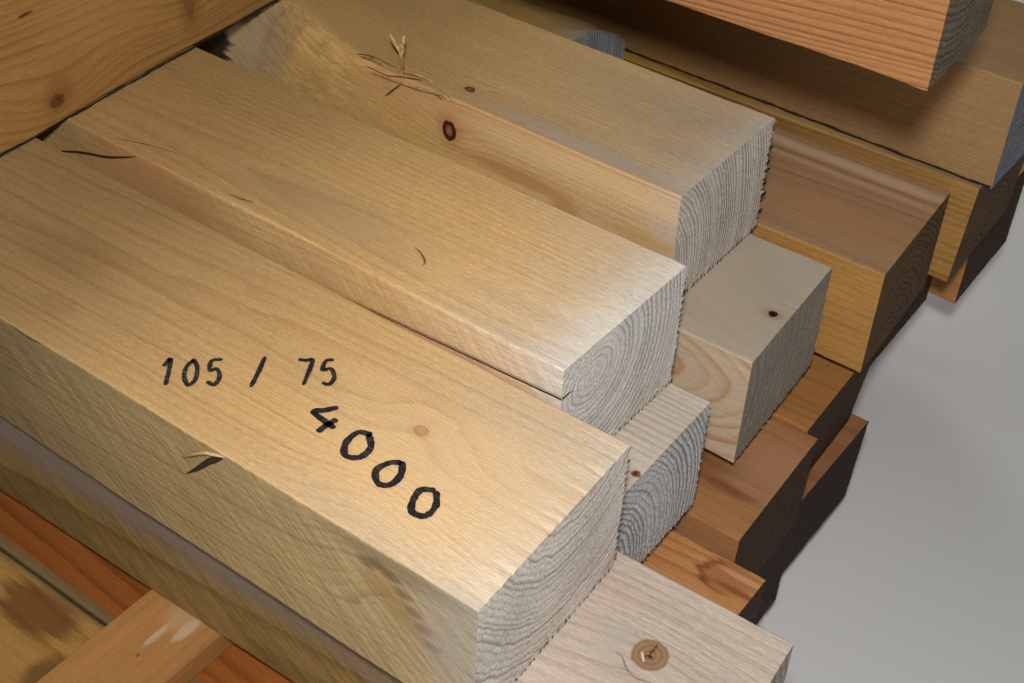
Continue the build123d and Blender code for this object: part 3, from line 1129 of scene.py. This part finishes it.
def dress_upper_second():
    """The timber with the cracks in its near side, one of which comes out at its cut."""
    wood = Wood(
        early=(208, 167, 109), late=(176, 131, 80), pale=(208, 190, 165),
        near_early=(220, 180, 122), near_late=(196, 146, 92), near_pale=(244, 222, 194),
        cut_light=(238, 230, 220), cut_dark=(150, 142, 134),
        pith=(27, 53), drift=(0.012, 0.012), ring=3.8, strength=0.45, frost=0.85, fibre=0.26,
        pale_reach=120.0, frost_tone=(224, 218, 208), deep=0.72, grain=0.2, saw_slope=0.8, saw=0.16,
        stains=(
            StainAndShadePatch((-160, 24, 75), (60, 16, 8), (150, 130, 104), 0.3),
            StainAndShadePatch((-60, 0, 46), (120, 6, 8), (196, 124, 82), 0.45),
            StainAndShadePatch((-270, 0, 40), (60, 6, 40), (186, 132, 84), 0.6),
        ),
        seed=23,
    )
    skin = Skin(step=1.0, low=(28, 3.4), far=(22, 3.0), tear=8, splits=(SIDE_CRACK,), lifted=1.0, seed=23)
    place = dress("upper_row_timber_2", wood, skin)
    add_second_cracks(place)
    add_second_marks(place)
    add_fuzz("upper_row_timber_2", place, 40, 24)
    add_painted_nick_shadows("upper_row_timber_2", place, 25, (16, 50, 102), (18, 2, 68), 2.8)


def dress_upper_third():
    """The waney timber, with the torn spot on its near arris."""
    skin = Skin(step=1.0, low=(26, 3.6), far=(18, 4.2), tear=8, log=WANEY_LOG, lifted=1.0, seed=37)
    place = dress("upper_row_timber_3", WANEY_WOOD, skin)
    add_third_splinters(place)
    add_torn_edges(place)
    add_fuzz("upper_row_timber_3", place, 40, 38, 3.4)
    add_painted_nick_shadows("upper_row_timber_3", place, 39, (26, 12, 102), (12, 8, 68), 4.6)
    add_far_splinters(place)


def dress_upper_fourth():
    """The pushed-in timber with the rounded top."""
    wood = WANEY_WOOD._replace(
        early=(182, 146, 82), late=(146, 108, 54), pale=(178, 142, 84), near_early=None,
        cut_light=(156, 156, 160), cut_dark=(96, 96, 102),
        knots=(), stains=(), fade=None, sweep=0.0, seed=41,
    )
    place = place_of("upper_row_timber_4", near_top=False)
    dress("upper_row_timber_4", wood, Skin(log=ROUND_LOG, seed=41), place)


def dress_upper_fifth():
    wood = Wood(
        early=(160, 118, 72), late=(126, 88, 51), pale=(158, 126, 88),
        cut_light=(128, 128, 136), cut_dark=(80, 80, 86),
        pith=(20, -50), ring=4.6, strength=0.4, seed=53,
    )
    skin = Skin(step=1.4, low=(22, 2.6), lifted=1.4, seed=53)
    place = dress("upper_row_timber_5", wood, skin)
    # painted shadow along the fifth timber's near bottom arris, where it stands off the row below
    add_painted_gap_shadow("fifth_painted_gap_shadow", place, 0.0, -1, 620, (0.8, 2.2), 57)


def dress_second_first():
    """The timber with the knot near its end."""
    knot = Knot((-51, 62, 75), (7.8, 8.0, 14), 22, -10, (152, 118, 86), (138, 108, 80), 0.95, 0.75, 0.0, 0.0)
    wood = Wood(
        early=(188, 169, 151), late=(168, 140, 117), pale=(188, 173, 159),
        near_early=(146, 118, 70), near_late=(112, 86, 50), near_pale=(142, 118, 74),
        pith=(-60, 16), drift=(0.02, 0.01), ring=5.6, strength=1.0,
        fibre=0.25, grain=0.2, saw=0.4, saw_slope=1.1,
        knots=(knot,),
        stains=(
            StainAndShadePatch((-250, 0, 80), (900, 10, 36), (124, 113, 106), 0.8, 0.35),
            StainAndShadePatch((-68, 62, 75), (7, 8, 6), (172, 164, 152), 0.5),
        ),
        seed=61,
    )
    place = dress("second_row_timber_1", wood, Skin(step=1.4, seed=61))
    add_knot_marks(place)


def dress_second_second():
    """The timber with the most strongly ringed cut."""
    wood = Wood(
        early=(198, 182, 164), late=(128, 96, 70), pale=(200, 186, 170),
        cut_light=(218, 215, 212), cut_dark=(72, 70, 70), tuft=1.0,
        pith=(-12, 14), drift=(0.01, 0.01), ring=3.2, strength=0.85, cut_strength=0.9,
        frost=0.3, fibre=0.3, grain=0.14,
        knots=(Knot((-3, 37, 75), (2.4, 2.2, 5), 7, 4, (150, 92, 66), (140, 90, 62)),),
        seed=67,
    )
    skin = Skin(step=1.0, low=(28, 3.6), far=(22, 3.0), tear=8, seed=67)
    place = dress("second_row_timber_2", wood, skin)
    add_fuzz("second_row_timber_2", place, 30, 68)
    add_painted_nick_shadows("second_row_timber_2", place, 69, (24, 10, 102), (16, 4, 70), 3.4)


def dress_second_third():
    """The timber with a small dark knot at its end and rings that run off to its near side."""
    wood = Wood(
        early=(186, 170, 150), late=(176, 158, 136), pale=(190, 176, 160),
        near_early=(208, 186, 156), near_late=(178, 118, 60), near_pale=(206, 184, 156),
        cut_light=(146, 136, 122), cut_dark=(98, 88, 76),
        pith=(-30, 50), drift=(-0.44, 0.0), ring=7.0, strength=0.8, cut_strength=0.3, wander=3.0,
        pale_most=0.3, fibre=0.25, grain=0.1,
        knots=(Knot((-11, 44, 75), (2.6, 2.6, 5), 10, 5, (64, 42, 28), (70, 48, 34)),),
        stains=(
            StainAndShadePatch((-11, 44, 75), (9, 5, 6), (128, 92, 68), 0.5),
            StainAndShadePatch((-40, 60, 75), (200, 90, 4), (186, 170, 148), 0.6),
        ),
        seed=71,
    )
    skin = Skin(step=1.0, low=(22, 4.4), far=(12, 1.8), tear=9.0, seed=71)
    place = dress("second_row_timber_3", wood, skin)
    add_fuzz("second_row_timber_3", place, 24, 72)
    add_painted_nick_shadows("second_row_timber_3", place, 73, (22, 20, 103), (2, 4, 12), 4.4)


def dress_second_last():
    """The two brown timbers on the far side of the second row."""
    fourth = Wood(
        early=(160, 118, 80), late=(114, 78, 48), pale=(168, 132, 98),
        near_early=(186, 138, 78), near_late=(148, 98, 48), near_pale=(186, 138, 78),
        # cut colours: brown end grain, made darker with painted shade for the light's fall-off
        cut_light=(96, 70, 38), cut_dark=(44, 30, 18),
        pith=(30, -16), ring=4.2, strength=0.7, grain=0.2,
        stains=(
            StainAndShadePatch((-90, 94, 75), (120, 5, 6), (206, 176, 142), 0.6),
            StainAndShadePatch((-90, 80, 75), (120, 2.4, 6), (198, 164, 128), 0.5),
            StainAndShadePatch((-40, 40, 75), (60, 22, 6), (172, 122, 82), 0.4),
        ),
        seed=79,
    )
    dress("second_row_timber_4", fourth, Skin(step=1.4, seed=79))
    fifth = fourth._replace(
        early=(184, 146, 70), late=(150, 110, 48), near_early=(94, 66, 33), near_late=(74, 49, 23),
        stains=(), seed=83,
    )
    dress("second_row_timber_5", fifth, Skin(seed=83))


ORANGE_WOOD = Wood(
    early=(184, 122, 66), late=(132, 70, 34), pale=(196, 140, 88),
    # cut colours: brown end grain, made darker with painted shade for the light's fall-off
    cut_light=(66, 42, 20), cut_dark=(28, 18, 9),
    pith=(60, -10), ring=4.2, strength=0.7, fibre=0.35, seed=101,
)


def dress_third_row():
    """The older, orange timbers: dirt on the first two, a flame of grain at the third's corner."""
    flame = (
        StainAndShadePatch((-19, 91, 75), (14, 11, 6), (106, 56, 30), 0.7, 0.15),
        StainAndShadePatch((-14, 92, 75), (14, 10.4, 9), (176, 116, 74), 0.9, 0.15),
        StainAndShadePatch((-10, 87, 75), (14, 2.0, 9), (132, 76, 44), 0.7, 0.4),
        StainAndShadePatch((-10, 97, 75), (14, 2.0, 9), (206, 158, 120), 0.7, 0.4),
    )
    dirt = (
        StainAndShadePatch((-262, 90, 75), (26, 13, 6), (84, 48, 26), 0.7, 0.3),
        StainAndShadePatch((-228, 66, 75), (8, 12, 6), (44, 32, 22), 0.6, 0.5),
        StainAndShadePatch((-250, 106, 75), (160, 4, 8), (92, 86, 60), 0.7),
    )
    looks = {
        "third_row_timber_1": ORANGE_WOOD._replace(
            early=(164, 122, 66), late=(126, 84, 42), pale=(164, 122, 66), stains=dirt, deep=0.9, seed=103
        ),
        "third_row_timber_2": ORANGE_WOOD._replace(
            early=(144, 84, 38), late=(100, 50, 20), pale=(144, 84, 38), seed=107, deep=0.9,
            stains=(StainAndShadePatch((-260, 1, 75), (160, 4, 6), (100, 94, 66), 0.75),),
        ),
        "third_row_timber_3": ORANGE_WOOD._replace(seed=109, drift=(0.03, 0.02), strength=0.8, stains=flame),
        "third_row_timber_4": ORANGE_WOOD._replace(
            early=(168, 114, 68), late=(122, 74, 42), pale=(174, 124, 82), seed=113,
            stains=(
                StainAndShadePatch((-10, 60, 75), (30, 26, 6), (178, 134, 104), 0.55),
                StainAndShadePatch((-52, 44, 75), (26, 22, 6), (122, 74, 42), 0.5),
                StainAndShadePatch((-22, 30, 75), (16, 4, 6), (110, 66, 38), 0.6),
            ),
        ),
        "third_row_timber_5": ORANGE_WOOD._replace(
            early=(168, 116, 62), late=(128, 80, 40), pale=(172, 120, 70), seed=127
        ),
        "third_row_timber_6": ORANGE_WOOD._replace(seed=131),
        "third_row_timber_7": ORANGE_WOOD._replace(seed=137),
    }
    for node, wood in looks.items():
        shown = node[-1] in "345"
        skin = Skin(step=1.4 if shown else 2.5, arris=1.8, low=(16, 2.0), far=(12, 1.6), seed=wood.seed)
        dress(node, wood, skin)


def dress_bottom_row():
    brown = ORANGE_WOOD._replace(
        # cut_light darker still: brown end grain with painted shade for the light's fall-off
        early=(150, 98, 62), late=(104, 60, 36), pale=(170, 118, 82), cut_light=(50, 28, 14)
    )
    for number in range(1, 8):
        wood = brown._replace(seed=140 + number * 3)
        skin = Skin(step=2.5, arris=1.8, low=(16, 2.4), far=(12, 1.8), seed=140 + number)
        dress(f"bottom_row_timber_{number}", wood, skin)


def dress_top_timber():
    red = Wood(
        early=(160, 112, 71), late=(82, 28, 12), pale=(165, 116, 75), grain=0.14, deep=0.5,
        cut_light=(116, 100, 80), cut_dark=(48, 40, 32),
        pith=(36, 124), drift=(0.02, 0.05), ring=3.4, strength=1.0, fibre=0.5, seed=151,
    )
    place = place_of("top_timber", EDGE_HEIGHT)
    dress("top_timber", red, Skin(step=1.4, low=(12, 1.6), seed=151), place)


TAN_WOOD = Wood(
    early=(162, 121, 70), late=(114, 76, 40), pale=(162, 121, 70), cut_light=(150, 120, 84), grain=0.12,
    pith=(40, -30), drift=(0.0, 0.06), ring=4.6, strength=0.6, fibre=0.3, wander=8.0, deep=1.0, seed=161,
)


def dress_cross_bearers():
    """The bearers under the top timber. The first one's shown side has two knots."""
    first = TAN_WOOD._replace(
        knots=(
            Knot((-247, 75, 14), (5, 8, 4), 26, 14, (112, 64, 38), (104, 62, 36), 0.7, 0.6, 0.5),
            Knot((-352, 75, 34), (4, 8, 15), 24, 12, (132, 92, 52), (112, 74, 40), 0.5, 0.5, 0.3, 0.0),
        ),
        stains=(
            StainAndShadePatch((-249, 75, 18), (10, 6, 9), (132, 86, 52), 0.5),
            StainAndShadePatch((-352, 75, 34), (9, 6, 22), (118, 80, 44), 0.4),
            StainAndShadePatch((-238, 75, 68), (5, 4, 0.9), (70, 42, 26), 0.9, 0.3),
            StainAndShadePatch((-300, 75, 60), (50, 10, 30), (178, 138, 82), 0.4),
        ),
    )
    woods = {"cross_bearer_1": first}
    for number in (2, 3):
        woods[f"cross_bearer_{number}"] = TAN_WOOD._replace(seed=160 + number)
    for node, wood in woods.items():
        skin = Skin(low=(8, 1.0), far=(8, 1.0), lifted=2.6, seed=wood.seed)
        place = dress(node, wood, skin, cross_place_of(node))
        # painted shadow along each bearer's bottom arris, where it stands off the timbers below
        add_painted_gap_shadow(f"{node}_painted_gap_shadow", place, place.width, 1, 880, (0.7, 2.0), wood.seed)


def dress_battens():
    """The battens between the rows. The first one's shown end is scuffed."""
    yellow = TAN_WOOD._replace(
        early=(160, 114, 67), late=(128, 84, 46), pale=(160, 114, 67),
        pith=(24, -90), drift=(0.0, 0.0), ring=1.8, fibre=0.4,
    )
    scuffed = yellow._replace(
        stains=(
            StainAndShadePatch((-150, 33, 15), (9, 3, 6), (196, 184, 164), 0.45, 0.3),
            StainAndShadePatch((-140, 24, 15), (8, 2, 6), (196, 184, 164), 0.4, 0.3),
            StainAndShadePatch((-156, 26, 15), (10, 9, 6), (180, 148, 106), 0.5),
            StainAndShadePatch((-125.5, 26, 15), (1.3, 1.0, 3), (112, 74, 44), 0.8, 0.3),
        ),
    )
    for number in range(1, 5):
        node = f"batten_{number}"
        wood = (scuffed if number == 1 else yellow)._replace(seed=170 + number)
        skin = Skin(arris=0.8, wobble=0.25, low=(6, 0.6), far=(3, 0.5), near=(2, 0.3), seed=170 + number)
        dress(node, wood, skin, cross_place_of(node))


def dress_ground_bearers():
    dark = TAN_WOOD._replace(
        early=(104, 78, 52), late=(76, 54, 34), pale=(104, 78, 52), cut_light=(92, 74, 54)
    )
    for number in range(1, 5):
        node = f"ground_bearer_{number}"
        skin = Skin(step=3.0, arris=2.0, lifted=0.0, seed=180 + number)
        dress(node, dark._replace(seed=180 + number), skin, cross_place_of(node))


# Floor, light and camera


# Each light's place, the point it looks at, its size in metres and its power in watts
LIGHTS = {
    "key": ((2.285, -0.585, 0.868), (1.98, -0.1, 0.33), 0.05, 5.5),
    "fill": ((3.1, -0.6, 1.0), (2.0, -0.1, 0.3), 0.9, 0.6),
    "overhead": ((-1.1, 0.3, 2.4), (-1.1, 0.1, 0.3), 2.0, 34),
    "near_soft": ((-1.4, -3.6, 2.4), (-1.2, 0, 0.3), 2.2, 60),
    "far_soft": ((-2.2, 3.8, 2.5), (-1.1, 0, 0.3), 2.2, 70),
}


def add_floor():
    bpy.ops.mesh.primitive_plane_add(size=30, location=(0, 0, -0.0005))
    floor = bpy.context.object
    floor.name = "floor"
    floor.data.materials.append(Tree("floor").finish((0.9, 0.89, 0.87), 0.9))


def add_light(name, place, target, size, power):
    data = bpy.data.lights.new(name, "AREA")
    data.shape = "DISK"
    data.size = size
    data.energy = power
    light = bpy.data.objects.new(name, data)
    light.location = place
    light.rotation_euler = (Vector(target) - Vector(place)).to_track_quat("-Z", "Y").to_euler()
    bpy.context.scene.collection.objects.link(light)


def add_world():
    world = bpy.data.worlds.new("world")
    world.use_nodes = True
    background = world.node_tree.nodes["Background"]
    background.inputs["Color"].default_value = (1.0, 0.98, 0.95, 1)
    background.inputs["Strength"].default_value = 0.06
    bpy.context.scene.world = world


def add_camera():
    """The camera of the shown view: where it stands, and its three axes in the row frame."""
    right = Vector((0.80377436, 0.59391395, 0.03482818))
    down = Vector((0.40113917, -0.49778936, -0.76895586))
    ahead = Vector((-0.43935652, 0.63203795, -0.63835247))
    data = bpy.data.cameras.new("camera")
    data.sensor_width = 36.0
    data.lens = 49.295
    data.clip_start = 0.01
    camera = bpy.data.objects.new("camera", data)
    axes = Matrix((right, -down, -ahead)).transposed()
    camera.matrix_world = Matrix.Translation((2.277636, -0.56725, 0.76635)) @ axes.to_4x4()
    bpy.context.scene.collection.objects.link(camera)
    bpy.context.scene.camera = camera


# The whole scene, in the order in which its pieces are made

dress_upper_first()
dress_upper_second()
dress_upper_third()
dress_upper_fourth()
dress_upper_fifth()
dress_second_first()
dress_second_second()
dress_second_third()
dress_second_last()
dress_third_row()
dress_bottom_row()
dress_top_timber()
dress_cross_bearers()
dress_battens()
dress_ground_bearers()
add_floor()
add_world()
for name, settings in LIGHTS.items():
    add_light(name, *settings)
add_camera()

scene = bpy.context.scene
scene.view_settings.view_transform = "Standard"
